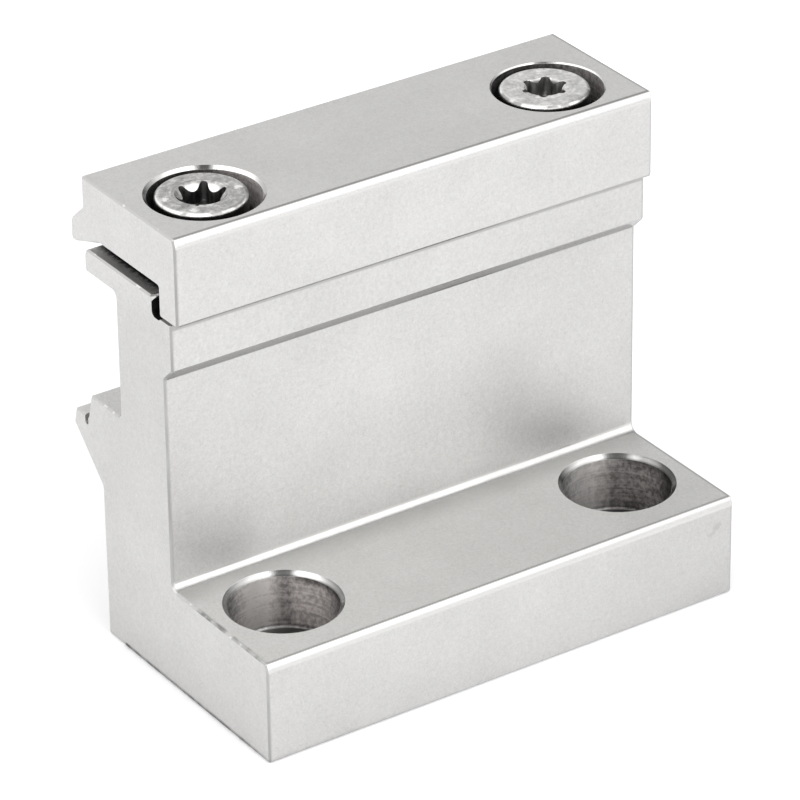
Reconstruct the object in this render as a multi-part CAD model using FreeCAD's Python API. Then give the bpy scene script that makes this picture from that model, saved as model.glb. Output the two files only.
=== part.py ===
import FreeCAD, Part
import math
import os

# Clamping end mount for a linear actuator: an aluminium bracket with a
# counterbored foot and an upright wall, a clamp bar seated on top of the wall,
# and two six-lobe screws that pull the bar down onto the actuator's profile.
# Millimetres.  Origin: midway between the two foot holes, on the underside.
# +X runs along the length, +Y points from the foot to the jaw, +Z is up.

# ---------------------------------------------------------------- dimensions
length = 55.5             # along X, bracket and bar alike
hole_spacing = 40.0       # between the two holes of each pair, along X
hole_setback = 9.0        # foot front face to foot hole centres

# section of the bracket; depths are measured from the foot's front face
foot_depth = 29.5
foot_height = 11.1
root_radius = 0.9         # fillet where the wall meets the foot
bevel_drop = 0.95         # steep narrow bevel on the front upper edges of foot and bar
bevel_set = 0.28
wall_front = 16.95
wall_back = 25.45
jaw_start_z = 16.95       # where the lower back face turns out to the jaw
jaw_tip_depth = 34.55
jaw_tip_top = 34.1        # upper corner of the jaw's tip
step_z = 23.75            # step behind the tip
step_depth = 31.75
step_groove_width = 0.6   # narrow groove in the step's inside corner
step_groove_z = 22.8
ledge_z = 26.45           # flat top of the jaw
ledge_edge = 31.05
lip_under_z = 40.15
lip_back = 31.05
slot_floor_z = 42.7       # flat top of the bracket, under the bar
shoulder_depth = 17.62    # raised edge that locates the bar
shoulder_z = 43.4
shoulder_start = 19.05    # where the flat top begins to rise to that edge
shoulder_flat = 0.25      # height of the edge's narrow front face
relief_depth = 18.75      # relief cut below that edge
relief_top_z = 42.15
relief_bottom_z = 40.6
seat_z = 41.0             # ledge that carries the bar's front lip
band_front = 15.45
band_bottom_z = 35.9

# section of the clamp bar
bar_front = 14.25
bar_lip_back = 17.42      # inner face of the front lip
bar_under_z = 44.3        # flat underside over the slot
bar_top_z = 50.4
bar_back = 31.05
nose_depth = 33.42
nose_low_z = 42.45
nose_top_z = 44.95
nose_root_depth = 28.2    # where the sloping underside of the nose begins

edge_break = 0.18         # broken edges round both sawn ends

# foot holes, for M6 socket head screws
foot_bore_r = 5.5
foot_bore_depth = 6.3
foot_bore_chamfer = 0.47
foot_bore_corner = 0.3    # round between bore wall and bore floor
foot_hole_r = 3.3
foot_hole_chamfer = 0.2

# holes for the clamp screws, M5
bar_hole_depth_y = 21.13  # counterbore centres in the bar
bar_bore_r = 5.6
bar_bore_chamfer_left = 0.33
bar_bore_chamfer_right = 0.15
bar_hole_r = 2.95
screw_shift_x = -0.2      # the screws stand a little off the counterbore centres
screw_shift_y = 0.29
tapped_r = 2.53           # tapped hole, drawn plain at the thread's outer size
tapped_depth = 15.0
tapped_chamfer = 0.35

# low-head six-lobe screw, M5 x 16
screw_r = 2.5
screw_length = 16.0
screw_tip_chamfer = 0.45
head_r = 4.55
head_height = 3.65
head_recessed = 0.05      # head top below the bar's top face
head_edge = 0.45          # rounded upper edge of the head
head_under_edge = 0.2
# socket: across opposite lobes, across opposite flutes, radius of its conical mouth;
# the left one is worn wider
socket_left = (5.15, 3.6, 2.6)
socket_right = (4.75, 3.4, 2.4)
lobe_radius = 0.43
lobe_depth = 2.1
mouth_slope = 42.0        # degrees below the head's top face
lobe_turn = 52.0          # degrees from +X to one lobe

head_top_z = bar_top_z - head_recessed
head_seat_z = head_top_z - head_height


# ------------------------------------------------------------------- helpers
def rounded_wire(points):
    """Closed wire in the plane x = 0 through (depth, z, radius) corners."""
    pts = [(d - hole_setback, z, r) for d, z, r in points]
    n = len(pts)
    starts, ends, mids = [], [], []
    for i in range(n):
        px, pz, _ = pts[i - 1]
        cx, cz, r = pts[i]
        nx, nz, _ = pts[(i + 1) % n]
        ax, az = px - cx, pz - cz
        bx, bz = nx - cx, nz - cz
        la, lb = math.hypot(ax, az), math.hypot(bx, bz)
        ax, az, bx, bz = ax / la, az / la, bx / lb, bz / lb
        if r <= 0:
            starts.append((cx, cz)); ends.append((cx, cz)); mids.append(None)
            continue
        half = math.acos(max(-1.0, min(1.0, ax * bx + az * bz))) / 2
        t = r / math.tan(half)
        mx, mz = ax + bx, az + bz
        lm = math.hypot(mx, mz)
        mx, mz = mx / lm, mz / lm
        far = r / math.sin(half)
        starts.append((cx + ax * t, cz + az * t))
        ends.append((cx + bx * t, cz + bz * t))
        mids.append((cx + mx * (far - r), cz + mz * (far - r)))

    def v(p):
        return FreeCAD.Vector(0, p[0], p[1])

    edges = []
    for i in range(n):
        if mids[i] is not None:
            edges.append(Part.Arc(v(starts[i]), v(mids[i]), v(ends[i])).toShape())
        a, b = ends[i], starts[(i + 1) % n]
        if math.hypot(a[0] - b[0], a[1] - b[1]) > 1e-6:
            edges.append(Part.LineSegment(v(a), v(b)).toShape())
    return Part.Wire(Part.__sortEdges__(edges))


def extruded(points):
    face = Part.Face(rounded_wire(points))
    solid = face.extrude(FreeCAD.Vector(length, 0, 0))
    solid.translate(FreeCAD.Vector(-length / 2, 0, 0))
    return solid


def break_ends(solid):
    """Small chamfer all round both sawn ends."""
    ends = []
    for e in solid.Edges:
        b = e.BoundBox
        if b.XLength < 1e-6 and abs(abs(b.XMin) - length / 2) < 1e-6:
            ends.append(e)
    return solid.makeChamfer(edge_break, ends)


def drill(x, y, z_low, z_high, r):
    return Part.makeCylinder(r, z_high - z_low, FreeCAD.Vector(x, y, z_low),
                             FreeCAD.Vector(0, 0, 1))


def counterbore(x, y, z_floor, z_high, r, corner):
    """Flat-bottomed bore with a rounded corner at its floor."""
    tool = drill(x, y, z_floor, z_high, r)
    low = [e for e in tool.Edges if e.BoundBox.ZMax < z_floor + 1e-6]
    return tool.makeFillet(corner, low)


def mouth(x, y, z_face, r, c, up=True):
    """Cone that breaks the edge of a hole of radius r opening at z_face."""
    over = 0.2
    if up:
        return Part.makeCone(r, r + c + over, c + over,
                             FreeCAD.Vector(x, y, z_face - c), FreeCAD.Vector(0, 0, 1))
    return Part.makeCone(r, r + c + over, c + over,
                         FreeCAD.Vector(x, y, z_face + c), FreeCAD.Vector(0, 0, -1))


def lobe_wire(lobe_outer, lobe_inner, z):
    """Six-lobe outline centred on the Z axis."""
    ro = lobe_radius
    co = lobe_outer / 2 - lobe_radius            # centres of the outer arcs
    # the flutes between lobes are arcs tangent to the outer arcs
    half = math.pi / 6
    ri_near = lobe_inner / 2                     # nearest point of a flute
    # centre of a flute lies on the bisector, at ri_near + r, and touches both lobes:
    # |centre - lobe centre| = r + lobe_radius
    k = math.cos(half)
    r = (ri_near ** 2 - 2 * ri_near * co * k + co ** 2 - lobe_radius ** 2) / (
        2 * (lobe_radius + co * k - ri_near))
    cf = ri_near + r
    rf = r
    edges = []
    for i in range(6):
        a = i * math.pi / 3
        l0 = FreeCAD.Vector(co * math.cos(a), co * math.sin(a), z)
        f_prev = FreeCAD.Vector(cf * math.cos(a - half), cf * math.sin(a - half), z)
        f_next = FreeCAD.Vector(cf * math.cos(a + half), cf * math.sin(a + half), z)
        l1 = FreeCAD.Vector(co * math.cos(a + 2 * half), co * math.sin(a + 2 * half), z)
        p0 = l0 + (f_prev - l0).normalize() * ro
        p1 = l0 + (f_next - l0).normalize() * ro
        pm = l0 + FreeCAD.Vector(math.cos(a), math.sin(a), 0) * ro
        edges.append(Part.Arc(p0, pm, p1).toShape())
        q1 = l1 + (f_next - l1).normalize() * ro
        qm = f_next - FreeCAD.Vector(math.cos(a + half), math.sin(a + half), 0) * rf
        edges.append(Part.Arc(p1, qm, q1).toShape())
    return Part.Wire(Part.__sortEdges__(edges))


# -------------------------------------------------------------- bracket body
jaw_low_z = jaw_start_z + (jaw_tip_depth - foot_depth)

bracket = extruded([
    (0.0, 0.0, 0.35),
    (foot_depth, 0.0, 0.45),
    (foot_depth, jaw_start_z, 0.6),
    (jaw_tip_depth, jaw_low_z, 0.3),
    (jaw_tip_top, step_z, 0.3),
    (step_depth, step_z, 0.0),
    (ledge_edge, ledge_z, 0.35),
    (wall_back, ledge_z, 0.6),
    (wall_back, lip_under_z, 0.6),
    (lip_back, lip_under_z, 0.5),
    (lip_back, slot_floor_z, 0.8),
    (shoulder_start, slot_floor_z, 0.6),
    (shoulder_depth, shoulder_z, 0.0),
    (shoulder_depth, seat_z, 0.2),
    (band_front, seat_z, 0.3),
    (band_front, band_bottom_z, 0.25),
    (wall_front, band_bottom_z - (wall_front - band_front), 0.4),
    (wall_front, foot_height, root_radius),
    (bevel_set, foot_height, 0.22),
    (0.0, foot_height - bevel_drop, 1.2),
])
bracket = break_ends(bracket)

# narrow groove in the inside corner of the jaw's step
bracket = bracket.cut(extruded([
    (step_depth, step_groove_z, 0.22),
    (step_depth + step_groove_width, step_groove_z, 0.22),
    (step_depth + step_groove_width, step_z + 0.3, 0.0),
    (step_depth, step_z + 0.3, 0.0),
]))

# relief under the raised edge, open to the front above the seat
bracket = bracket.cut(extruded([
    (16.95, shoulder_z - shoulder_flat, 0.0),
    (shoulder_depth + 0.05, shoulder_z - shoulder_flat, 0.0),
    (relief_depth, relief_top_z, 0.35),
    (relief_depth, relief_bottom_z, 0.6),
    (17.55, relief_bottom_z, 0.2),
    (16.95, seat_z, 0.0),
]))

for side in (-1, 1):
    x = side * hole_spacing / 2
    bracket = bracket.cut(counterbore(x, 0, foot_height - foot_bore_depth, foot_height + 1, foot_bore_r,
                                      foot_bore_corner))
    bracket = bracket.cut(drill(x, 0, -1, foot_height, foot_hole_r))
    bracket = bracket.cut(mouth(x, 0, foot_height, foot_bore_r, foot_bore_chamfer))
    bracket = bracket.cut(mouth(x, 0, 0, foot_hole_r, foot_hole_chamfer, up=False))
    bracket = bracket.cut(mouth(x, 0, foot_height - foot_bore_depth, foot_hole_r, foot_hole_chamfer))

    sx = x + screw_shift_x
    sy = bar_hole_depth_y - hole_setback + screw_shift_y
    bottom = slot_floor_z - tapped_depth
    bracket = bracket.cut(drill(sx, sy, bottom, slot_floor_z + 1, tapped_r))
    point = tapped_r / math.tan(math.radians(59))
    bracket = bracket.cut(Part.makeCone(tapped_r, 0, point, FreeCAD.Vector(sx, sy, bottom),
                                        FreeCAD.Vector(0, 0, -1)))
    bracket = bracket.cut(mouth(sx, sy, slot_floor_z, tapped_r, tapped_chamfer))

# ------------------------------------------------------------------ clamp bar
bar = extruded([
    (bar_front, seat_z, 0.45),
    (bar_lip_back, seat_z, 0.45),
    (bar_lip_back, bar_under_z, 0.2),
    (nose_root_depth, bar_under_z, 1.2),
    (nose_depth, nose_low_z, 0.55),
    (nose_depth - 0.07, nose_top_z, 0.45),
    (bar_back, nose_top_z + 2.1, 0.9),
    (bar_back, bar_top_z, 0.22),
    (bar_front + bevel_set, bar_top_z, 0.22),
    (bar_front, bar_top_z - bevel_drop, 1.2),
])
bar = break_ends(bar)

for side in (-1, 1):
    x = side * hole_spacing / 2
    y = bar_hole_depth_y - hole_setback
    bar = bar.cut(drill(x, y, head_seat_z, bar_top_z + 1, bar_bore_r))
    bar = bar.cut(drill(x, y, bar_under_z - 2, bar_top_z, bar_hole_r))
    chamfer = bar_bore_chamfer_left if side < 0 else bar_bore_chamfer_right
    bar = bar.cut(mouth(x, y, bar_top_z, bar_bore_r, chamfer))
    bar = bar.cut(mouth(x, y, bar_under_z, bar_hole_r, 0.2, up=False))

# --------------------------------------------------------------- clamp screws
# section of the turned blank, revolved about its own axis
def turned_blank():
    z0 = head_seat_z - screw_length
    e, u, c = head_edge, head_under_edge, screw_tip_chamfer
    s = math.sqrt(0.5)

    def v(r, z):
        return FreeCAD.Vector(r, 0, z)

    edges = [
        Part.LineSegment(v(0, z0), v(screw_r - c, z0)).toShape(),
        Part.LineSegment(v(screw_r - c, z0), v(screw_r, z0 + c)).toShape(),
        Part.LineSegment(v(screw_r, z0 + c), v(screw_r, head_seat_z)).toShape(),
        Part.LineSegment(v(screw_r, head_seat_z), v(head_r - u, head_seat_z)).toShape(),
        Part.LineSegment(v(head_r - u, head_seat_z), v(head_r, head_seat_z + u)).toShape(),
        Part.LineSegment(v(head_r, head_seat_z + u), v(head_r, head_top_z - e)).toShape(),
        Part.Arc(v(head_r, head_top_z - e),
                 v(head_r - e + e * s, head_top_z - e + e * s),
                 v(head_r - e, head_top_z)).toShape(),
        Part.LineSegment(v(head_r - e, head_top_z), v(0, head_top_z)).toShape(),
        Part.LineSegment(v(0, head_top_z), v(0, z0)).toShape(),
    ]
    face = Part.Face(Part.Wire(Part.__sortEdges__(edges)))
    return face.revolve(FreeCAD.Vector(0, 0, 0), FreeCAD.Vector(0, 0, 1), 360)


def screw(x, y, socket):
    lobe_outer, lobe_inner, mouth_r = socket
    s = turned_blank()
    z_floor = head_top_z - lobe_depth
    s = s.cut(Part.Face(lobe_wire(lobe_outer, lobe_inner, z_floor)).extrude(
        FreeCAD.Vector(0, 0, lobe_depth + 0.5)))
    # drill point below the socket and the cone round its mouth
    s = s.cut(Part.makeCone(lobe_inner / 2 - 0.1, 0.0, 0.6, FreeCAD.Vector(0, 0, z_floor),
                            FreeCAD.Vector(0, 0, -1)))
    tangent = math.tan(math.radians(mouth_slope))
    low_r, over = 1.2, 0.1
    s = s.cut(Part.makeCone(low_r, mouth_r + over, (mouth_r + over - low_r) * tangent,
                            FreeCAD.Vector(0, 0, head_top_z - (mouth_r - low_r) * tangent),
                            FreeCAD.Vector(0, 0, 1)))
    s.rotate(FreeCAD.Vector(0, 0, 0), FreeCAD.Vector(0, 0, 1), lobe_turn)
    s.translate(FreeCAD.Vector(x, y, 0))
    return s


screw_y = bar_hole_depth_y - hole_setback + screw_shift_y
screw_left = screw(-hole_spacing / 2 + screw_shift_x, screw_y, socket_left)
screw_right = screw(hole_spacing / 2 + screw_shift_x, screw_y, socket_right)

# --------------------------------------------------------------------- output
os.makedirs("parts", exist_ok=True)
for name, shape in (("bracket_body", bracket), ("clamp_bar", bar),
                    ("clamp_screw_left", screw_left), ("clamp_screw_right", screw_right)):
    if shape.ShapeType != "Solid":
        solids = shape.Solids
        shape = solids[0] if len(solids) == 1 else Part.makeCompound(solids)
    print(name, shape.ShapeType, shape.isValid(), round(shape.Volume, 1), shape.BoundBox)
    shape.exportStep("parts/%s.step" % name)
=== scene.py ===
import bpy
import bmesh
import math
from mathutils import Matrix, Vector


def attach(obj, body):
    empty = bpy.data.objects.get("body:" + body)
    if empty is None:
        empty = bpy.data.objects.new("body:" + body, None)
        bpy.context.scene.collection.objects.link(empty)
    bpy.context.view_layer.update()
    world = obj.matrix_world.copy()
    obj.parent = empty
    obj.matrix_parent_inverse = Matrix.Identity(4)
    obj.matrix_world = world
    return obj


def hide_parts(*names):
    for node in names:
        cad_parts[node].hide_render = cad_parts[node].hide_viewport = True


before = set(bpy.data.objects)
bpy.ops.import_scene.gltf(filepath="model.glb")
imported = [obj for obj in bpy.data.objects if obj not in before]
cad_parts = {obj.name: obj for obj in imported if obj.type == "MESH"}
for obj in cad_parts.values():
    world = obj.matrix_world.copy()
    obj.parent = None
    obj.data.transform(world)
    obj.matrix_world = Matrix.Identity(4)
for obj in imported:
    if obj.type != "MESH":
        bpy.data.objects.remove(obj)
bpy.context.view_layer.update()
scene = bpy.context.scene
MM = 0.001


# ------------------------------------------------------------------- camera
# Aim, distance and lens that give the viewing angle and framing of the picture.
def make_camera():
    az, el, roll = math.radians(-33.743), math.radians(28.975), math.radians(-0.788)
    target = Vector((-3.92, 12.32 - 9.0, 26.73)) * MM
    back = Vector((math.sin(az) * math.cos(el), -math.cos(az) * math.cos(el), math.sin(el)))
    right = (-back).cross(Vector((0, 0, 1))).normalized()
    up = right.cross(-back).normalized()
    c, s = math.cos(roll), math.sin(roll)
    r2, u2 = right * c + up * s, up * c - right * s
    cam = bpy.data.cameras.new("camera")
    cam.sensor_fit = "HORIZONTAL"
    cam.sensor_width = 36.0
    cam.lens = 5205.2 * 36.0 / 800.0
    cam.clip_start, cam.clip_end = 0.01, 20.0
    ob = bpy.data.objects.new("camera", cam)
    m = Matrix.Identity(4)
    for i in range(3):
        m[i][0], m[i][1], m[i][2] = r2[i], u2[i], back[i]
        m[i][3] = target[i] + back[i] * 506.6 * MM
    ob.matrix_world = m
    scene.collection.objects.link(ob)
    scene.camera = ob


make_camera()


# ---------------------------------------------------------------- node tools
class Tree:
    """A short way to write shader nodes."""

    def __init__(self, owner):
        owner.use_nodes = True
        self.t = owner.node_tree
        self.t.nodes.clear()

    def node(self, kind, **props):
        n = self.t.nodes.new(kind)
        for k, v in props.items():
            setattr(n, k, v)
        return n

    def link(self, a, b):
        self.t.links.new(a, b)

    def put(self, socket, value):
        if hasattr(value, "is_linked") or isinstance(value, bpy.types.NodeSocket):
            self.link(value, socket)
        else:
            socket.default_value = value

    def math(self, op, a, b=0.0, c=0.0, clamp=False):
        n = self.node("ShaderNodeMath", operation=op, use_clamp=clamp)
        for i, v in enumerate((a, b, c)):
            self.put(n.inputs[i], v)
        return n.outputs[0]

    def vmath(self, op, a, b=(0, 0, 0)):
        n = self.node("ShaderNodeVectorMath", operation=op)
        self.put(n.inputs[0], a)
        self.put(n.inputs[1], b)
        return n.outputs["Value"] if op in ("LENGTH", "DOT_PRODUCT", "DISTANCE") else n.outputs[0]

    def noise(self, vec, scale, detail=2.0, rough=0.5, dims="3D"):
        n = self.node("ShaderNodeTexNoise", noise_dimensions=dims)
        if dims == "1D":
            self.put(n.inputs["W"], vec)
        else:
            self.put(n.inputs["Vector"], vec)
        n.inputs["Scale"].default_value = scale
        n.inputs["Detail"].default_value = detail
        n.inputs["Roughness"].default_value = rough
        return n.outputs["Fac"]

    def ramp(self, fac, stops, **props):
        n = self.node("ShaderNodeValToRGB", **props)
        while len(n.color_ramp.elements) < len(stops):
            n.color_ramp.elements.new(0.5)
        for e, (p, c) in zip(n.color_ramp.elements, stops):
            e.position = p
            c = (c, c, c) if isinstance(c, (int, float)) else c
            e.color = (*c, 1.0)
        self.put(n.inputs[0], fac)
        return n.outputs[0]

    def remap(self, v, a, b, c=0.0, d=1.0, smooth=False):
        n = self.node("ShaderNodeMapRange", interpolation_type="SMOOTHSTEP" if smooth else "LINEAR")
        self.put(n.inputs["Value"], v)
        for k, x in (("From Min", a), ("From Max", b), ("To Min", c), ("To Max", d)):
            self.put(n.inputs[k], x)
        return n.outputs["Result"]

    def within(self, v, a, b, soft):
        """1 between a and b, falling to 0 over soft on either side."""
        return self.both(self.remap(v, a - soft, a), self.remap(v, b, b + soft, 1.0, 0.0))

    def both(self, *masks):
        r = masks[0]
        for m in masks[1:]:
            r = self.math("MULTIPLY", r, m)
        return r

    def flip(self, m):
        return self.math("SUBTRACT", 1.0, m)

    def mix(self, fac, a, b):
        n = self.node("ShaderNodeMix", data_type="RGBA")
        self.put(n.inputs[0], fac)
        self.put(n.inputs[6], a if not isinstance(a, tuple) else (*a, 1.0) if len(a) == 3 else a)
        self.put(n.inputs[7], b if not isinstance(b, tuple) else (*b, 1.0) if len(b) == 3 else b)
        return n.outputs[2]

    def times(self, colour, factor):
        """A colour multiplied by a number that varies."""
        n = self.node("ShaderNodeVectorMath", operation="SCALE")
        self.put(n.inputs[0], colour)
        self.put(n.inputs["Scale"], factor)
        return n.outputs[0]

    def scale(self, vec, s):
        n = self.node("ShaderNodeMapping", vector_type="POINT")
        self.put(n.inputs["Vector"], vec)
        n.inputs["Scale"].default_value = s
        return n.outputs[0]


def grey(v):
    return (v, v * 0.993, v * 0.98)


def aluminium(name, bores, z_mid, dashes=None, marks=(), dark=(), slot_z=None, pocket=None, under=(), fronts=(), seams=(), strips=()):
    """Satin, clear anodised aluminium; lengths in mm.
    bores: (x, y, radius, floor z, top z, chamfer, strength of the painted shade under the mouth, painted tone of the
    near side, [(place across, painted light and shade of the far side)], [(place across, painted highlight and shade of
    the chamfer)]) of the turned holes; places run from -1 at the left to 1 at the right, as seen from the front left.
    z_mid: the ends' upper edges below this height carry the dashes.
    dashes: ((y low, y high, strength), ...) of dark rubbed lengths along those edges.
    marks: ((x, y, z), (reach along x, y, z), shade) of small stains.
    dark: ((y low, y high), (z low, z high), shade) of long strips where dirt collects.
    slot_z: height of the face that bounds the slot between bracket and bar.
    pocket: (y low, y high, z low, z high) of the closed space beside the bar's lip.
    under: (z low, z high, shade) of edges and slants that face down.
    fronts: (y of the front, z of the top, height of the painted highlight, loss of that height at the right, shade of
    the painted dark line above) of the bevelled front edges.
    seams: (y low, y high, z low, z high, shade) of joints seen at the ends.
    strips: (z low, z high, fade, shade) of shaded strips along the front faces."""
    mat = bpy.data.materials.new(name)
    t = Tree(mat)
    both, flip = t.both, t.flip
    out = t.node("ShaderNodeOutputMaterial")
    bsdf = t.node("ShaderNodeBsdfPrincipled")
    t.link(bsdf.outputs[0], out.inputs[0])
    bsdf.inputs["Metallic"].default_value = 1.0

    coord = t.node("ShaderNodeTexCoord")
    pos, nor = coord.outputs["Object"], coord.outputs["Normal"]
    sep_n = t.node("ShaderNodeSeparateXYZ")
    t.link(nor, sep_n.inputs[0])
    sep_p = t.node("ShaderNodeSeparateXYZ")
    t.link(pos, sep_p.inputs[0])
    px, py, pz = sep_p.outputs
    ny, up = sep_n.outputs[1], sep_n.outputs[2]
    along = t.math("ABSOLUTE", sep_n.outputs[0])
    steep = t.math("ABSOLUTE", up)

    # sawn ends face along X; the broken edges round them lean
    is_end = t.remap(along, 0.9, 0.99)
    leaning = both(t.remap(along, 0.35, 0.6), t.remap(along, 0.8, 0.95, 1.0, 0.0))
    at_end = t.remap(t.math("ABSOLUTE", px), 27.4 * MM, 27.5 * MM)
    is_edge = both(leaning, at_end, t.remap(steep, 0.3, 0.5, 1.0, 0.0))
    top_edge = both(leaning, at_end, t.remap(up, 0.4, 0.6))
    # rounded and bevelled faces lie between upright and flat
    is_round = both(t.remap(steep, 0.08, 0.22), t.remap(steep, 0.955, 0.995, 1.0, 0.0), flip(at_end))
    # the steep narrow bevel along the front upper edge
    bevel = both(t.remap(ny, -0.9, -0.8, 1.0, 0.0), t.within(up, 0.16, 0.42, 0.12), t.remap(along, 0.1, 0.2, 1.0, 0.0))

    # inside the bores: distance to the nearest bore wall, and the painted light and shade across each
    near = floor = painted_bore_tone = rim = rim_tone = left_part = None
    faces_up = t.remap(up, -0.9, -0.7)                       # leaves out the undersides round the holes
    for x, y, r, z, z_top, c, shadow, near_tone, stops, rim_stops in bores:
        d = t.vmath("DISTANCE", t.scale(pos, (1, 1, 0)), (x * MM, y * MM, 0))
        d = t.math("SUBTRACT", d, r * MM)
        near = d if near is None else t.math("MINIMUM", near, d)
        inside = both(faces_up, t.remap(d, 0.00001, 0.00003, 1.0, 0.0))
        beyond = t.math("ADD", t.math("MULTIPLY", t.math("SUBTRACT", px, x * MM), 0.555 / (r * MM)),
                        t.math("MULTIPLY", t.math("SUBTRACT", py, y * MM), 0.831 / (r * MM)))
        far_half = t.remap(beyond, -0.15, 0.05)
        low = both(inside, far_half, t.remap(pz, (z + 0.03) * MM, (z + 0.08) * MM, 1.0, 0.0), t.remap(d, -0.0017, -0.0012))
        floor = low if floor is None else t.math("ADD", floor, low)
        across = t.math("ADD", t.math("MULTIPLY", t.math("SUBTRACT", px, x * MM), 0.831 / (2 * r * MM)),
                        t.math("MULTIPLY", t.math("SUBTRACT", py, y * MM), -0.555 / (2 * r * MM)))
        across = t.math("ADD", across, 0.5)
        # painted shade: darker in the corner by the floor, and close under the mouth on the right
        deep = t.remap(pz, (z + 0.1) * MM, (z + 0.6) * MM, 0.3, 1.0)
        brow = both(t.remap(pz, (z_top - c - 0.95) * MM, (z_top - c - 0.1) * MM), t.remap(across, 0.52, 0.68), shadow)
        wall = both(t.ramp(across, [(0.5 + 0.5 * u, v) for u, v in stops]), deep, flip(brow))
        near_half = t.math("MULTIPLY", flip(far_half), near_tone)
        part = both(inside, t.math("ADD", both(wall, far_half), near_half))
        painted_bore_tone = part if painted_bore_tone is None else t.math("ADD", painted_bore_tone, part)
        part = both(inside, t.remap(across, 0.3, 0.5, 1.0, 0.0))
        left_part = part if left_part is None else t.math("ADD", left_part, part)
        # painted highlights and shade on the chamfer round each mouth, by place across
        on = both(t.remap(up, 0.5, 0.62), t.remap(up, 0.80, 0.9, 1.0, 0.0), t.remap(d, 0.0, 0.02 * MM), t.remap(d, (c + 0.02) * MM, (c + 0.06) * MM, 1.0, 0.0))
        part = both(on, t.ramp(across, [(0.5 + 0.5 * u, v) for u, v in rim_stops]), t.remap(d, 0.6 * c * MM, 0.95 * c * MM, 1.0, 0.72 if c > 0.4 else 0.95),
                    t.remap(d, 0.08 * c * MM, 0.36 * c * MM, 0.45 if c > 0.4 else 1.0, 1.0))
        rim = on if rim is None else t.math("ADD", rim, on)
        rim_tone = part if rim_tone is None else t.math("ADD", rim_tone, part)
    in_bore = both(faces_up, t.remap(near, 0.00001, 0.00003, 1.0, 0.0))

    # blasted grain at two sizes, slow cloudy variation, and short nicks
    grain = t.noise(pos, 5200.0, 2.0, 0.55)
    specks = t.noise(pos, 1900.0, 3.0, 0.65)
    cloud = t.noise(pos, 130.0, 3.0, 0.55)
    nicks = t.noise(t.scale(pos, (2600.0, 2600.0, 1500.0)), 1.0, 2.0, 0.6)
    # faint drawing lines along the length, on all faces of the extrusion
    lines = t.noise(t.scale(pos, (22.0, 2600.0, 2600.0)), 1.0, 3.0, 0.6)
    # faint cutter marks across the sawn ends
    cuts = t.noise(t.scale(pos, (900.0, 260.0, 2400.0)), 1.0, 3.0, 0.6)
    # turned rings and dark flecks in the bores
    rings = t.noise(t.scale(pos, (160.0, 160.0, 3600.0)), 1.0, 2.0, 0.5)
    flecks = t.noise(t.scale(pos, (2300.0, 2300.0, 1900.0)), 1.0, 4.0, 0.7)

    tone = t.math("ADD", t.math("MULTIPLY", grain, 0.45),
                  t.math("ADD", t.math("MULTIPLY", specks, 0.33), t.math("MULTIPLY", cloud, 0.22)))
    face = t.ramp(tone, [(0.30, (0.535, 0.531, 0.524)), (0.5, (0.62, 0.617, 0.61)), (0.70, (0.70, 0.697, 0.692))])
    nick = t.math("ADD", t.remap(nicks, 0.64, 0.74, 1.0, 0.93), t.remap(nicks, 0.26, 0.36, 0.06, 0.0))
    face = t.times(face, nick)
    # painted shade: upright faces are a little darker towards the foot
    painted_low_shade = t.remap(pz, 0.0, 16.0 * MM, 0.90, 1.0)
    painted_low_shade = t.math("MAXIMUM", painted_low_shade, t.remap(steep, 0.1, 0.4))
    face = t.times(face, painted_low_shade)
    # painted shade: the fronts darken towards the right, the ends in their middle height
    right_front = both(t.remap(ny, -0.9, -0.8, 1.0, 0.0), t.remap(px, 4.0 * MM, 24.0 * MM), t.remap(pz, 38.0 * MM, 44.0 * MM, 1.0, 0.35))
    mid_end = both(is_end, t.within(pz, 17.0 * MM, 39.0 * MM, 4.0 * MM))
    face = t.times(face, t.math("SUBTRACT", 1.0, t.math("ADD", t.math("MULTIPLY", right_front, 0.07), t.math("MULTIPLY", mid_end, 0.065))))
    # the wall just above the foot is rougher, so that it mirrors the bores softly; there and in the wall's middle its
    # colour is lightened, as painted light
    low_wall = both(t.remap(ny, -0.9, -0.8, 1.0, 0.0), t.remap(py, 6.0 * MM, 7.0 * MM), t.within(pz, 12.0 * MM, 22.0 * MM, 5.0 * MM))
    by_bore = both(low_wall, t.remap(t.math("ABSOLUTE", t.math("SUBTRACT", t.math("ABSOLUTE", px), 20.0 * MM)), 2.0 * MM, 8.0 * MM, 1.0, 0.0, True))
    mid_wall = both(t.remap(ny, -0.9, -0.8, 1.0, 0.0), t.remap(py, 6.8 * MM, 7.4 * MM), t.remap(t.math("ABSOLUTE", px), 10.0 * MM, 18.0 * MM, 1.0, 0.0, True), t.within(pz, 14.0 * MM, 28.0 * MM, 5.0 * MM))
    face = t.times(face, t.math("ADD", t.math("ADD", 1.0, t.math("MULTIPLY", by_bore, 0.08)), t.math("MULTIPLY", mid_wall, 0.05)))

    fleck = t.remap(t.math("ADD", t.math("MULTIPLY", flecks, 0.75), t.math("MULTIPLY", rings, 0.25)), 0.41, 0.58, 1.0, 0.0)
    spotted = t.math("MULTIPLY", fleck, t.remap(painted_bore_tone, 0.45, 1.0, 0.62, 0.27))
    tint = t.mix(left_part, (0.91, 0.862, 0.852), (0.92, 0.905, 0.892))
    turned = t.math("ADD", 1.02, t.math("MULTIPLY", t.math("SUBTRACT", rings, 0.5), t.remap(left_part, 0.0, 1.0, 0.3, 0.55)))
    bored = t.times(tint, t.math("MINIMUM", both(painted_bore_tone, t.math("SUBTRACT", 1.07, spotted), turned), 1.08))

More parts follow.
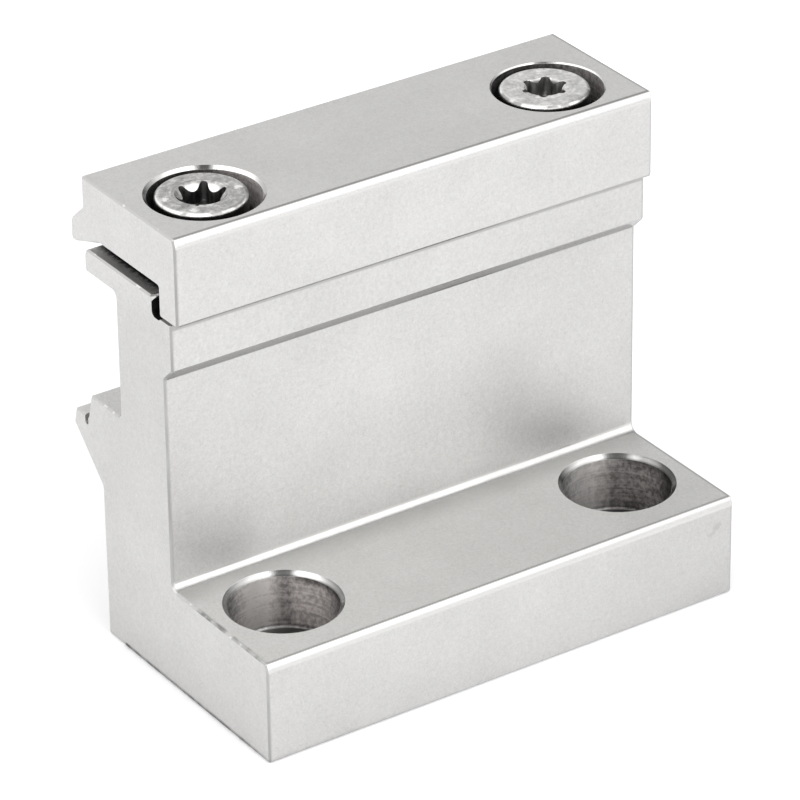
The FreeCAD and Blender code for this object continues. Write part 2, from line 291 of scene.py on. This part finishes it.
    colour = t.mix(in_bore, face, bored)
    # painted shade on the outer part of each bore's floor, on the far side
    colour = t.mix(floor, colour, grey(0.08))
    span = t.math("ABSOLUTE", px)
    # painted shade: the broken edges at the ends, and the front faces just beside them, are darkened
    beside = both(t.remap(ny, -0.95, -0.9, 1.0, 0.0), t.remap(span, 27.40 * MM, 27.5 * MM), 0.45)
    painted_dark_edges = t.math("MULTIPLY", t.math("MAXIMUM", is_edge, beside), t.remap(cloud, 0.35, 0.6, 0.7, 1.0))
    colour = t.mix(painted_dark_edges, colour, grey(0.34))
    colour = t.mix(rim, colour, t.times((1.0, 0.995, 0.985), rim_tone))
    # the front upper bevel: a plain tone, a painted highlight along it, and a painted dark line above it
    colour = t.mix(bevel, colour, grey(0.65))
    for y_front, z_top, height, loss, shade in fronts:
        here = t.remap(t.math("ABSOLUTE", t.math("SUBTRACT", py, y_front * MM)), 0.7 * MM, 0.8 * MM, 1.0, 0.0)
        level = t.math("SUBTRACT", pz, t.remap(px, -5.0 * MM, 25.0 * MM, 0.0, loss * MM))
        painted_bevel_highlight = both(bevel, here, t.remap(level, (z_top - height - 0.24) * MM, (z_top - height + 0.13) * MM, 0.0, 1.0, True))
        colour = t.mix(painted_bevel_highlight, colour, (0.93, 0.93, 0.93))
        painted_bevel_line = both(t.remap(up, 0.45, 0.7), t.remap(pz, (z_top - 0.4) * MM, (z_top - 0.3) * MM), t.remap(py, (y_front + 0.46) * MM, (y_front + 0.66) * MM, 1.0, 0.0, True),
                    t.remap(cloud, 0.35, 0.6, 0.75, 1.0))
        colour = t.mix(painted_bevel_line, colour, grey(shade))
    # painted shade: small rounded upper edges are darkened
    painted_dark_upper_edges = both(t.remap(up, 0.62, 0.8), t.remap(up, 0.97, 0.995, 1.0, 0.0), t.remap(along, 0.1, 0.25, 1.0, 0.0), flip(in_bore))
    colour = t.mix(t.math("MULTIPLY", painted_dark_upper_edges, 0.75), colour, grey(0.33))
    # the ends' upper edges: painted shade, with a few painted highlight spots, and lengths rubbed dark
    colour = t.mix(top_edge, colour, grey(0.54))
    spots = t.noise(pos, 900.0, 2.0, 0.5)
    colour = t.mix(both(top_edge, t.remap(spots, 0.61, 0.68)), colour, grey(0.76))
    # painted shade: the right end's upper edges are darker still
    by_end = both(t.remap(up, 0.9, 0.97), t.remap(span, 27.26 * MM, 27.5 * MM))
    edge_top = t.math("MAXIMUM", top_edge, by_end)
    colour = t.mix(both(edge_top, t.remap(px, 0.0, 1.0 * MM), 0.85), colour, grey(0.33))
    if dashes:
        low = both(t.remap(pz, (z_mid - 0.2) * MM, z_mid * MM, 1.0, 0.0), t.remap(px, -1.0 * MM, 0.0, 1.0, 0.0))
        for ya, yb, strength in dashes:
            m = both(edge_top, low, t.within(py, ya * MM, yb * MM, 0.4 * MM), t.remap(spots, 0.40, 0.56, strength, strength * 0.35))
            colour = t.mix(m, colour, grey(0.26))
    # painted shade along the lower edges, where they meet the floor
    painted_contact_shade = both(t.remap(pz, 0.32 * MM, 0.60 * MM, 1.0, 0.0), t.remap(up, -0.95, -0.85), t.remap(spots, 0.42, 0.56, 1.0, 0.7),
                     t.remap(py, 17.1 * MM, 17.7 * MM, 1.0, 0.1), t.remap(py, -8.4 * MM, -5.0 * MM, 0.4, 1.0),
                     t.math("MAXIMUM", t.remap(ny, -0.9, -0.7), t.remap(px, -20.0 * MM, 0.0, 0.45, 0.1)))
    colour = t.mix(painted_contact_shade, colour, grey(0.16))
    for ya, yb, za, zb, shade in seams:
        m = both(t.within(py, ya * MM, yb * MM, 0.05 * MM), t.within(pz, za * MM, zb * MM, 0.05 * MM), t.remap(span, 27.45 * MM, 27.55 * MM))
        colour = t.mix(m, colour, grey(shade))
    # painted highlight along the rounded corner at the foot of the wall
    root = both(t.within(pz, 11.15 * MM, 12.3 * MM, 0.1 * MM), t.within(up, 0.34, 0.80, 0.10), t.remap(py, 5.0 * MM, 5.5 * MM), flip(at_end))
    colour = t.mix(root, colour, (0.93, 0.93, 0.92))
    # painted shade on the edges and slants that face down
    for za, zb, shade in under:
        soft = 0.3 * (zb - za)
        m = both(t.within(pz, (za + soft) * MM, (zb - soft) * MM, soft * MM), t.remap(up, -0.35, -0.12, 1.0, 0.0))
        colour = t.mix(t.math("ADD", t.math("MULTIPLY", m, 0.6), both(t.within(pz, za * MM, zb * MM, 0.05 * MM), t.remap(up, -0.35, -0.12, 0.4, 0.0))), colour, grey(shade))
    for za, zb, fade, shade in strips:
        m = both(t.remap(ny, -0.95, -0.9, 1.0, 0.0), t.within(pz, za * MM, zb * MM, fade * MM), t.remap(cloud, 0.35, 0.6, 0.8, 1.0))
        colour = t.mix(m, colour, grey(shade))
    # painted shade in long strips, in corners
    for (ya, yb), (za, zb), shade in dark:
        m = both(t.remap(py, ya * MM, yb * MM, 0.0, 1.0, True), t.remap(pz, za * MM, zb * MM, 1.0, 0.0, True), flip(at_end),
                 t.remap(t.math("ADD", cloud, t.math("MULTIPLY", specks, 0.5)), 0.5, 0.95, 1.0, 0.6))
        colour = t.mix(m, colour, grey(shade))
    painted_gap_shade = None
    if slot_z is not None:
        # painted shade: the faces inside the slot, which see little light, are darkened
        level = both(t.remap(t.math("ABSOLUTE", t.math("SUBTRACT", pz, slot_z * MM)), 0.05 * MM, 0.12 * MM, 1.0, 0.0),
                     t.remap(steep, 0.6, 0.9))
        rough_in = t.math("MULTIPLY", t.math("SUBTRACT", specks, 0.5), 0.9 * MM)
        depth = t.math("ADD", t.math("ABSOLUTE", px), rough_in)
        painted_gap_shade = both(level, t.remap(depth, 26.15 * MM, 27.05 * MM, 1.0, 0.0, True), t.remap(py, 19.6 * MM, 21.6 * MM, 1.0, 0.6))
    if pocket is not None:
        ya, yb, za, zb = pocket
        deep = both(t.within(py, ya * MM, yb * MM, 0.02 * MM), t.within(pz, za * MM, zb * MM, 0.02 * MM), t.remap(along, 0.6, 0.8, 1.0, 0.0))
        painted_gap_shade = deep if painted_gap_shade is None else t.math("MAXIMUM", painted_gap_shade, deep)
    if painted_gap_shade is not None:
        # the painted shade is darkest at the open ends, lighter further in
        painted_gap_shade = both(painted_gap_shade, t.remap(span, 23.5 * MM, 25.9 * MM, 0.38, 1.0, True))
        colour = t.mix(painted_gap_shade, colour, grey(0.025))
    for (x, y, z), (rx, ry, rz), shade in marks:
        d = t.node("ShaderNodeMapping", vector_type="TEXTURE")
        t.link(pos, d.inputs["Vector"])
        d.inputs["Location"].default_value = (x * MM, y * MM, z * MM)
        d.inputs["Scale"].default_value = (rx * MM, ry * MM, rz * MM)
        far = t.math("ADD", t.vmath("LENGTH", d.outputs[0]), t.math("MULTIPLY", t.math("SUBTRACT", specks, 0.5), 2.4))
        colour = t.mix(t.remap(far, 0.35, 1.0, 1.0, 0.0, True), colour, grey(shade))
    t.link(colour, bsdf.inputs["Base Color"])

    rough = t.math("ADD", 0.40, t.math("MULTIPLY", specks, 0.14))
    rough = t.math("ADD", rough, t.math("MULTIPLY", is_end, 0.02))
    rough = t.math("SUBTRACT", rough, t.math("MULTIPLY", is_round, 0.25))
    rough = t.math("ADD", rough, t.math("MULTIPLY", in_bore, 0.15))
    rough = t.math("ADD", rough, t.math("MULTIPLY", low_wall, 0.08))
    if painted_gap_shade is not None:
        rough = t.math("ADD", rough, t.math("MULTIPLY", painted_gap_shade, 0.3))
    t.link(rough, bsdf.inputs["Roughness"])

    h = t.math("ADD", t.math("MULTIPLY", grain, 0.45), t.math("MULTIPLY", specks, 0.8))
    h = t.math("ADD", h, t.math("MULTIPLY", nicks, 0.4))
    h = t.math("ADD", h, t.math("MULTIPLY", lines, t.math("SUBTRACT", 0.3, t.math("MULTIPLY", is_end, 0.3))))
    h = t.math("ADD", h, t.math("MULTIPLY", cuts, t.math("MULTIPLY", is_end, 0.5)))
    h = t.math("ADD", h, t.math("MULTIPLY", t.math("ADD", rings, flecks), t.math("MULTIPLY", in_bore, 1.2)))
    bump = t.node("ShaderNodeBump")
    bump.inputs["Strength"].default_value = 0.4
    bump.inputs["Distance"].default_value = 0.00002
    t.link(h, bump.inputs["Height"])
    t.link(bump.outputs[0], bsdf.inputs["Normal"])
    return mat


def steel(name, centre, low, high, cone, cone_reach, marks):
    """Plated steel, turned about the screw's own axis.
    low and high bound the top face's mottled tone; cone is the painted tone, light or dark, of the cone round the
    socket out to the two radii cone_reach, between which it fades; marks: (x, y, reach, tone) of small bright and dark
    scars, some of them painted highlights."""
    mat = bpy.data.materials.new(name)
    t = Tree(mat)
    out = t.node("ShaderNodeOutputMaterial")
    bsdf = t.node("ShaderNodeBsdfPrincipled")
    t.link(bsdf.outputs[0], out.inputs[0])
    bsdf.inputs["Metallic"].default_value = 1.0
    coord = t.node("ShaderNodeTexCoord")
    pos, nor = coord.outputs["Object"], coord.outputs["Normal"]
    sep_n = t.node("ShaderNodeSeparateXYZ")
    t.link(nor, sep_n.inputs[0])
    up = sep_n.outputs[2]
    radial = t.vmath("DISTANCE", t.scale(pos, (1, 1, 0)), (centre[0], centre[1], 0))
    rings = t.noise(t.math("MULTIPLY", radial, 5200.0), 1.0, 2.0, 0.6, "1D")
    specks = t.noise(pos, 2100.0, 3.0, 0.6)
    cloud = t.noise(pos, 760.0, 3.0, 0.6)
    tone = t.math("ADD", t.math("MULTIPLY", specks, 0.42),
                  t.math("ADD", t.math("MULTIPLY", cloud, 0.45), t.math("MULTIPLY", rings, 0.13)))
    top = t.ramp(tone, [(0.38, grey(low)), (0.52, grey((low + high) / 2)), (0.60, grey(high))])
    # painted shade on the rounded rim, with painted highlights in places
    rim_glint_noise = t.noise(pos, 420.0, 2.0, 0.55)
    rim = t.both(t.remap(up, 0.25, 0.5), t.remap(up, 0.80, 0.95, 1.0, 0.0), t.remap(radial, 3.4 * MM, 3.6 * MM))
    colour = t.mix(rim, top, grey(0.36))
    colour = t.mix(t.math("MULTIPLY", rim, t.remap(rim_glint_noise, 0.46, 0.55)), colour, (0.93, 0.93, 0.92))
    # painted light and shade on the cone round the socket, in a band across its middle
    inner = t.both(t.remap(up, 0.25, 0.5), t.remap(up, 0.93, 0.985, 1.0, 0.0), t.remap(radial, 3.0 * MM, 3.2 * MM, 1.0, 0.0))
    sep_p = t.node("ShaderNodeSeparateXYZ")
    t.link(pos, sep_p.inputs[0])
    across = t.math("ADD", t.math("MULTIPLY", t.math("SUBTRACT", sep_p.outputs[0], centre[0]), 0.831),
                    t.math("MULTIPLY", t.math("SUBTRACT", sep_p.outputs[1], centre[1]), -0.555))
    inner = t.both(inner, t.remap(radial, cone_reach[0] * MM, cone_reach[1] * MM, 1.0, 0.0),
                   t.remap(t.math("ABSOLUTE", across), 1.55 * MM, 1.85 * MM, 1.0, 0.0))
    colour = t.mix(inner, colour, grey(cone))
    # scars, several of them painted highlights
    for mx, my, reach, shade in marks:
        far = t.vmath("DISTANCE", t.scale(pos, (1, 1, 0)), (mx * MM, my * MM, 0))
        far = t.math("ADD", far, t.math("MULTIPLY", t.math("SUBTRACT", specks, 0.5), 3.6 * reach * MM))
        colour = t.mix(t.both(t.remap(far, 0.3 * reach * MM, reach * MM, 1.0, 0.0, True), t.remap(up, 0.4, 0.6)), colour, grey(shade))
    # painted shade: the head's side, down in the counterbore, is darkened
    side = t.math("MULTIPLY", t.remap(radial, 4.3 * MM, 4.4 * MM), t.remap(up, 0.02, 0.2, 1.0, 0.0))
    colour = t.mix(side, colour, grey(0.11))
    t.link(colour, bsdf.inputs["Base Color"])
    t.link(t.math("ADD", 0.20, t.math("MULTIPLY", specks, 0.22)), bsdf.inputs["Roughness"])
    h = t.math("ADD", t.math("MULTIPLY", rings, 0.5), t.math("ADD", t.math("MULTIPLY", specks, 0.9), t.math("MULTIPLY", cloud, 1.2)))
    bump = t.node("ShaderNodeBump")
    bump.inputs["Strength"].default_value = 0.5
    bump.inputs["Distance"].default_value = 0.00003
    t.link(h, bump.inputs["Height"])
    t.link(bump.outputs[0], bsdf.inputs["Normal"])
    return mat


def socket_steel(name, low, high):
    """The punched socket: dark, as painted shade. oily and dark."""
    mat = bpy.data.materials.new(name)
    t = Tree(mat)
    out = t.node("ShaderNodeOutputMaterial")
    bsdf = t.node("ShaderNodeBsdfPrincipled")
    t.link(bsdf.outputs[0], out.inputs[0])
    bsdf.inputs["Metallic"].default_value = 1.0
    coord = t.node("ShaderNodeTexCoord")
    pos = coord.outputs["Object"]
    smear = t.noise(t.scale(pos, (1, 1, 0.25)), 1500.0, 3.0, 0.6)
    t.link(t.ramp(smear, [(0.36, grey(low)), (0.62, grey(high))]), bsdf.inputs["Base Color"])
    t.link(t.math("ADD", 0.35, t.math("MULTIPLY", smear, 0.25)), bsdf.inputs["Roughness"])
    bump = t.node("ShaderNodeBump")
    bump.inputs["Strength"].default_value = 0.3
    bump.inputs["Distance"].default_value = 0.00003
    t.link(smear, bump.inputs["Height"])
    t.link(bump.outputs[0], bsdf.inputs["Normal"])
    return mat


# ---------------------------------------------------------------- the screws
HEAD_TOP, HEAD_H, HEAD_R, HEAD_EDGE = 50.35, 3.65, 4.55, 0.45
LENGTH, SHANK_R, PITCH = 16.0, 2.5, 0.8
SEAT = HEAD_TOP - HEAD_H
LOBE_R, LOBE_DEPTH, LOBE_TURN = 0.43, 2.1, 52.0
MOUTH_SLOPE = math.tan(math.radians(42.0))
N = 144


def lobe_radius_at(angle, lobe_out, lobe_in):
    """Distance from the axis to the six-lobe outline in one direction."""
    co = lobe_out / 2 - LOBE_R
    half = math.pi / 6
    near = lobe_in / 2
    k = math.cos(half)
    r = (near ** 2 - 2 * near * co * k + co ** 2 - LOBE_R ** 2) / (2 * (LOBE_R + co * k - near))
    cf = near + r
    a = (angle + half) % (2 * half) - half          # -30 to 30 degrees about a lobe
    touch = math.atan2(cf * math.sin(half), cf * k - co)   # direction of the tangent point
    px = co + LOBE_R * math.cos(touch)
    py = LOBE_R * math.sin(touch)
    disc = LOBE_R ** 2 - (co * math.sin(a)) ** 2
    if abs(a) <= math.atan2(py, px) and disc >= 0:
        return co * math.cos(a) + math.sqrt(disc)
    b = half - abs(a)
    disc = r * r - (cf * math.sin(b)) ** 2
    return cf * math.cos(b) - math.sqrt(max(disc, 0.0))


def thread_radius(angle, z):
    """Right-hand M5 thread: radius at a height along the shank."""
    z_tip = SEAT - LENGTH
    phase = ((z - z_tip) / PITCH - angle / (2 * math.pi)) % 1.0
    d = abs(phase - 0.5) * 2                        # 0 at the crest, 1 at the root
    depth = 0.47
    if d < 0.125:
        r = SHANK_R
    elif d > 0.84:
        r = SHANK_R - depth
    else:
        u = (d - 0.125) / (0.84 - 0.125)
        r = SHANK_R - depth * u
    # runs out below the head, and is pointed at the tip
    top = min(1.0, max(0.0, (SEAT - 0.45 - z) / 0.8))
    r = (SHANK_R - 0.36) + (r - (SHANK_R - 0.36)) * top
    tip = z - z_tip
    if tip < 0.6:
        r = min(r, SHANK_R - 0.55 + tip * 0.95)
    return r


def make_screw(name, cx, cy, socket, mats):
    """socket: across opposite lobes, across opposite flutes, radius of the conical mouth."""
    lobe_out, lobe_in, mouth_r = socket
    bm = bmesh.new()
    turn = math.radians(LOBE_TURN)
    angles = [2 * math.pi * i / N for i in range(N)]

    def lobe(a):
        return lobe_radius_at(a, lobe_out, lobe_in)

    def ring(f, z):
        """f, z: radius and height, each a number or a function of the angle from a lobe."""
        vs = []
        for a in angles:
            r = f(a) if callable(f) else f
            h = z(a) if callable(z) else z
            vs.append(bm.verts.new(((cx + r * math.cos(a + turn)) * MM, (cy + r * math.sin(a + turn)) * MM, h * MM)))
        return vs

    def strip(a, b, m):
        for i in range(N):
            j = (i + 1) % N
            f = bm.faces.new((a[i], a[j], b[j], b[i]))
            f.material_index = m
            f.smooth = True

    def fan(a, z, m, up):
        c = bm.verts.new((cx * MM, cy * MM, z * MM))
        for i in range(N):
            j = (i + 1) % N
            f = bm.faces.new((c, a[i], a[j]) if up else (c, a[j], a[i]))
            f.material_index = m
            f.smooth = True

    z_floor = HEAD_TOP - LOBE_DEPTH

    def mouth(a):
        """Outer edge of the cone round the mouth: a circle, and round the lobes where they reach past it."""
        return max(mouth_r, lobe(a) + 0.04)

    def rim_z(a):
        """Height where the cone round the mouth meets the wall of the socket."""
        return HEAD_TOP - max(0.03, (mouth(a) - lobe(a)) * MOUTH_SLOPE)

    # socket: drill point, floor, wall, cone round the mouth
    cone = ring(lobe_in / 2 - 0.1, z_floor)
    fan(cone, z_floor - 0.6, 1, True)
    floor = ring(lambda a: lobe(a) - 0.05, z_floor)
    strip(floor, cone, 1)
    prev = floor
    for part in (0.04, 0.35, 0.7, 0.97):
        nxt = ring(lobe, lambda a, part=part: z_floor + (rim_z(a) - z_floor) * part)
        strip(nxt, prev, 1)
        prev = nxt
    for part in (0.0, 0.35, 0.7, 0.95):
        nxt = ring(lambda a, part=part: lobe(a) + 0.01 + (mouth(a) - lobe(a) - 0.01) * part,
                   lambda a, part=part: rim_z(a) + 0.01 + (HEAD_TOP - rim_z(a) - 0.01) * part)
        strip(nxt, prev, 0)
        prev = nxt
    # flat top, rounded edge, side, underside
    outer = HEAD_R - HEAD_EDGE
    for k in (0.015, 0.25, 0.5, 0.75, 0.985, 1.0):
        nxt = ring(lambda a, k=k: mouth(a) + 0.01 + (outer - mouth(a) - 0.01) * k, HEAD_TOP)
        strip(nxt, prev, 0)
        prev = nxt
    for i in range(1, 11):
        q = i / 10 * math.pi / 2
        nxt = ring(outer + HEAD_EDGE * math.sin(q), HEAD_TOP - HEAD_EDGE + HEAD_EDGE * math.cos(q))
        strip(nxt, prev, 0)
        prev = nxt
    for r, z in ((HEAD_R, SEAT + 0.22), (HEAD_R - 0.02, SEAT + 0.2), (HEAD_R - 0.2, SEAT + 0.01),
                 (HEAD_R - 0.22, SEAT), (SHANK_R - 0.1, SEAT), (SHANK_R - 0.36, SEAT - 0.25)):
        nxt = ring(r, z)
        strip(nxt, prev, 0)
        prev = nxt
    # threaded shank
    z = SEAT - 0.3
    while z > SEAT - LENGTH + 1e-6:
        nxt = ring(lambda a, z=z: thread_radius(a, z), z)
        strip(nxt, prev, 0)
        prev = nxt
        z -= 0.05
    last = ring(lambda a: thread_radius(a, SEAT - LENGTH), SEAT - LENGTH)
    strip(last, prev, 0)
    fan(last, SEAT - LENGTH, 0, False)
    bmesh.ops.recalc_face_normals(bm, faces=bm.faces[:])
    me = bpy.data.meshes.new(name)
    bm.to_mesh(me)
    bm.free()
    for m in mats:
        me.materials.append(m)
    ob = bpy.data.objects.new(name, me)
    scene.collection.objects.link(ob)
    # keep the true edges crisp while the turned faces stay smooth
    me.set_sharp_from_angle(angle=math.radians(32))
    return ob


SCREW_Y = 21.13 - 9.0 + 0.29
# bright and dark scars on the heads; several bright ones are painted highlights
scars_and_glints_left = [(-20.92, 9.76, 0.38, 0.95), (-21.9, 10.39, 0.26, 0.04), (-16.71, 11.48, 0.45, 0.95), (-23.91, 13.12, 0.5, 0.95),
              (-22.7, 9.7, 0.5, 0.95)]
scars_and_glints_right = [(19.04, 10.04, 0.32, 0.95), (17.9, 10.85, 0.34, 0.95), (20.51, 14.6, 0.28, 0.8), (21.9, 13.3, 0.26, 0.8),
               (19.58, 16.11, 0.4, 0.95), (21.35, 15.7, 0.4, 0.95)]
for side, body, node, x, socket, top, inside in (
        ("left", "screw_left", "clamp_screw_left", -20.2, (5.15, 3.6, 2.6), (0.29, 0.72, 0.93, (2.2, 2.5), scars_and_glints_left), (0.05, 0.18)),
        ("right", "screw_right", "clamp_screw_right", 19.8, (4.75, 3.4, 2.05), (0.49, 0.86, 0.15, (1.8, 2.0), scars_and_glints_right), (0.14, 0.40))):
    mats = [steel("screw_steel_" + side, (x * MM, SCREW_Y * MM), *top), socket_steel("socket_steel_" + side, *inside)]
    piece = make_screw("threaded_screw_" + side, x, SCREW_Y, socket, mats)
    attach(piece, body)
    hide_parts(node)

# ------------------------------------------------------- bracket and clamp bar
# painted light and shade across the far wall and the chamfer of each bore, by place across
foot_left = [(-1.0, 0.25), (-0.9, 0.5), (-0.78, 0.9), (-0.62, 1.2), (-0.35, 1.17), (-0.2, 0.84), (-0.05, 0.52), (0.06, 0.5), (0.2, 0.75),
             (0.6, 0.84), (0.82, 0.66), (0.93, 0.32), (1.0, 0.15)]
foot_right = [(-1.0, 0.22), (-0.9, 0.5), (-0.8, 0.88), (-0.62, 1.1), (-0.4, 1.0), (-0.22, 0.72), (-0.04, 0.43), (0.3, 0.42), (0.6, 0.5), (0.78, 0.44),
              (0.9, 0.18), (1.0, 0.06)]
bar_left = [(-1.0, 0.16), (-0.3, 0.16), (0.1, 0.45), (0.5, 0.85), (1.0, 1.0)]
bar_right = [(-1.0, 0.16), (-0.3, 0.16), (0.1, 0.32), (0.5, 0.55), (1.0, 0.66)]
rim_foot_left = [(-1.0, 0.2), (-0.86, 0.28), (-0.74, 0.45), (-0.62, 0.97), (-0.34, 0.97), (-0.14, 0.28), (0.08, 0.28), (0.26, 0.97), (0.6, 0.95),
                 (0.78, 0.5), (0.9, 0.34), (1.0, 0.25)]
rim_foot_right = [(-1.0, 0.14), (-0.88, 0.25), (-0.78, 0.48), (-0.68, 0.97), (-0.32, 0.97), (-0.14, 0.22), (0.2, 0.22), (0.36, 0.55), (0.6, 0.55),
                  (0.76, 0.36), (0.86, 0.14), (1.0, 0.1)]
rim_bar_left = [(-1.0, 0.5), (-0.78, 0.6), (-0.68, 0.97), (-0.22, 0.97), (-0.09, 0.22), (0.02, 0.22), (0.14, 0.97), (0.8, 0.95),
                (0.92, 0.6), (1.0, 0.5)]
rim_bar_right = [(-1.0, 0.5), (-0.85, 0.6), (-0.75, 0.95), (-0.26, 0.95), (-0.2, 0.35), (-0.02, 0.35), (0.05, 0.92), (0.85, 0.9),
                 (0.95, 0.6), (1.0, 0.5)]
bracket_marks = [
    ((-27.75, 23.0, 23.2), (0.35, 0.3, 0.42), 0.29),         # a dark spot in the groove by the jaw's tip
    ((-27.75, 22.2, 21.9), (0.2, 0.5, 0.4), 0.55),
    ((-27.75, 16.9, 0.2), (0.6, 0.8, 0.5), 0.10),            # and a dark spot on the lower edge
    ((25.79, -9.0, 8.29), (0.8, 0.3, 0.5), 0.46),            # faint rubs near the foot's right end
    ((25.18, -9.0, 7.68), (0.9, 0.3, 0.35), 0.48),
]
bracket_corner_shade = [((3.6, 7.4), (11.2, 11.9), 0.44)]            # painted shade in the corner between foot and wall
foot_dashes = [(-8.6, -2.8, 0.75), (-1.3, 3.4, 1.0)]
for node, bores, z_mid, dashes, marks, dark, slot_z, pocket, under, fronts, seams, strips in (
        ("bracket_body", [(-20, 0, 5.5, 4.8, 11.1, 0.47, 0.6, 1.0, foot_left, rim_foot_left),
                          (20, 0, 5.5, 4.8, 11.1, 0.47, 0.6, 1.0, foot_right, rim_foot_right)],
         12.0, foot_dashes, bracket_marks, bracket_corner_shade, 42.7, (8.0, 10.0, 40.5, 43.2), [(34.3, 35.95, 0.34)],
         [(-9.0, 11.1, 0.5, 0.18, 0.47)], [(5.2, 8.35, 40.84, 41.05, 0.12)], [(40.32, 41.0, 0.16, 0.42)]),
        ("clamp_bar", [(-20, 12.13, 5.6, 46.7, 50.4, 0.33, 0.1, 0.2, bar_left, rim_bar_left),
                       (20, 12.13, 5.6, 46.7, 50.4, 0.15, 0.1, 0.2, bar_right, rim_bar_right)],
         0.0, None, [], [], 44.3, (8.3, 8.5, 40.9, 44.4), [(40.9, 41.5, 0.42)],
         [(5.25, 50.4, 0.64, 0.0, 0.34)], [(5.2, 8.35, 40.95, 41.20, 0.09)], [])):
    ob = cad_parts[node]
    mat = aluminium(node + "_aluminium", bores, z_mid, dashes, marks, dark, slot_z, pocket, under, fronts, seams, strips)
    for i in range(len(ob.material_slots)):
        ob.material_slots[i].material = mat
    if not ob.material_slots:
        ob.data.materials.append(mat)


# ------------------------------------------------------------ floor and light
def make_floor():
    bm = bmesh.new()
    bmesh.ops.create_grid(bm, x_segments=2, y_segments=2, size=3.0)
    me = bpy.data.meshes.new("floor")
    bm.to_mesh(me)
    bm.free()
    ob = bpy.data.objects.new("floor", me)
    scene.collection.objects.link(ob)
    mat = bpy.data.materials.new("pale_floor")
    t = Tree(mat)
    out = t.node("ShaderNodeOutputMaterial")
    bsdf = t.node("ShaderNodeBsdfPrincipled", name="floor_shader")
    t.link(bsdf.outputs[0], out.inputs[0])
    bsdf.inputs["Base Color"].default_value = (0.90, 0.90, 0.91, 1)
    bsdf.inputs["Roughness"].default_value = 0.9
    bsdf.inputs["Specular IOR Level"].default_value = 0.1
    bsdf.inputs["Emission Color"].default_value = (1.0, 1.0, 1.0, 1)
    bsdf.inputs["Emission Strength"].default_value = 0.06
    me.materials.append(mat)


make_floor()

# brightness of the white tent from the horizon behind (0), overhead (0.5), to the horizon in front (1)
TENT_PLACES = (0.0, 0.18, 0.34, 0.50, 0.70, 1.0)
TENT_LEFT = (0.72, 1.15, 1.50, 1.70, 2.00, 2.05)
TENT_CENTRE = (0.93, 1.15, 1.24, 1.36, 2.25, 2.35)
TENT_RIGHT = (0.80, 0.85, 0.57, 0.78, 1.82, 0.84)


def make_world():
    """A white tent round the object: three strips from back to front, left, middle and right, with a small dim
    patch overhead in front and a dim strip low on the right behind."""
    world = bpy.data.worlds.new("studio")
    scene.world = world
    t = Tree(world)
    out = t.node("ShaderNodeOutputWorld")
    bg = t.node("ShaderNodeBackground")
    t.link(bg.outputs[0], out.inputs[0])
    coord = t.node("ShaderNodeTexCoord")
    way = coord.outputs["Generated"]
    sep = t.node("ShaderNodeSeparateXYZ")
    t.link(way, sep.inputs[0])
    x, y, z = sep.outputs
    turn = t.math("DIVIDE", t.math("ARCTAN2", z, y), math.pi, clamp=True)
    strips = [t.ramp(turn, [(p, (v, v * 0.997, v * 0.99)) for p, v in zip(TENT_PLACES, values)], name=name)
              for name, values in (("tent_left", TENT_LEFT), ("tent_centre", TENT_CENTRE), ("tent_right", TENT_RIGHT))]
    tent = t.mix(t.remap(x, 0.2, 0.5, 0.0, 1.0, True), strips[1], strips[2])
    tent = t.mix(t.remap(x, -0.55, -0.25, 1.0, 0.0, True), tent, strips[0])
    flag = t.both(t.remap(x, 0.55, 0.75, 0.0, 1.0, True), t.remap(y, 0.05, 0.25, 0.0, 1.0, True), t.remap(z, 0.15, 0.35, 1.0, 0.0, True))
    gap = t.remap(t.vmath("DISTANCE", way, Vector((-0.25, -0.41, 0.875)).normalized()), 0.17, 0.32, 1.0, 0.0, True)
    tent = t.times(tent, t.both(t.math("SUBTRACT", 1.0, t.math("MULTIPLY", flag, 0.9)), t.math("SUBTRACT", 1.0, t.math("MULTIPLY", gap, 0.85))))
    t.link(tent, bg.inputs["Color"])
    bg.inputs["Strength"].default_value = 1.0


make_world()

scene.view_settings.view_transform = "Standard"
scene.view_settings.look = "None"
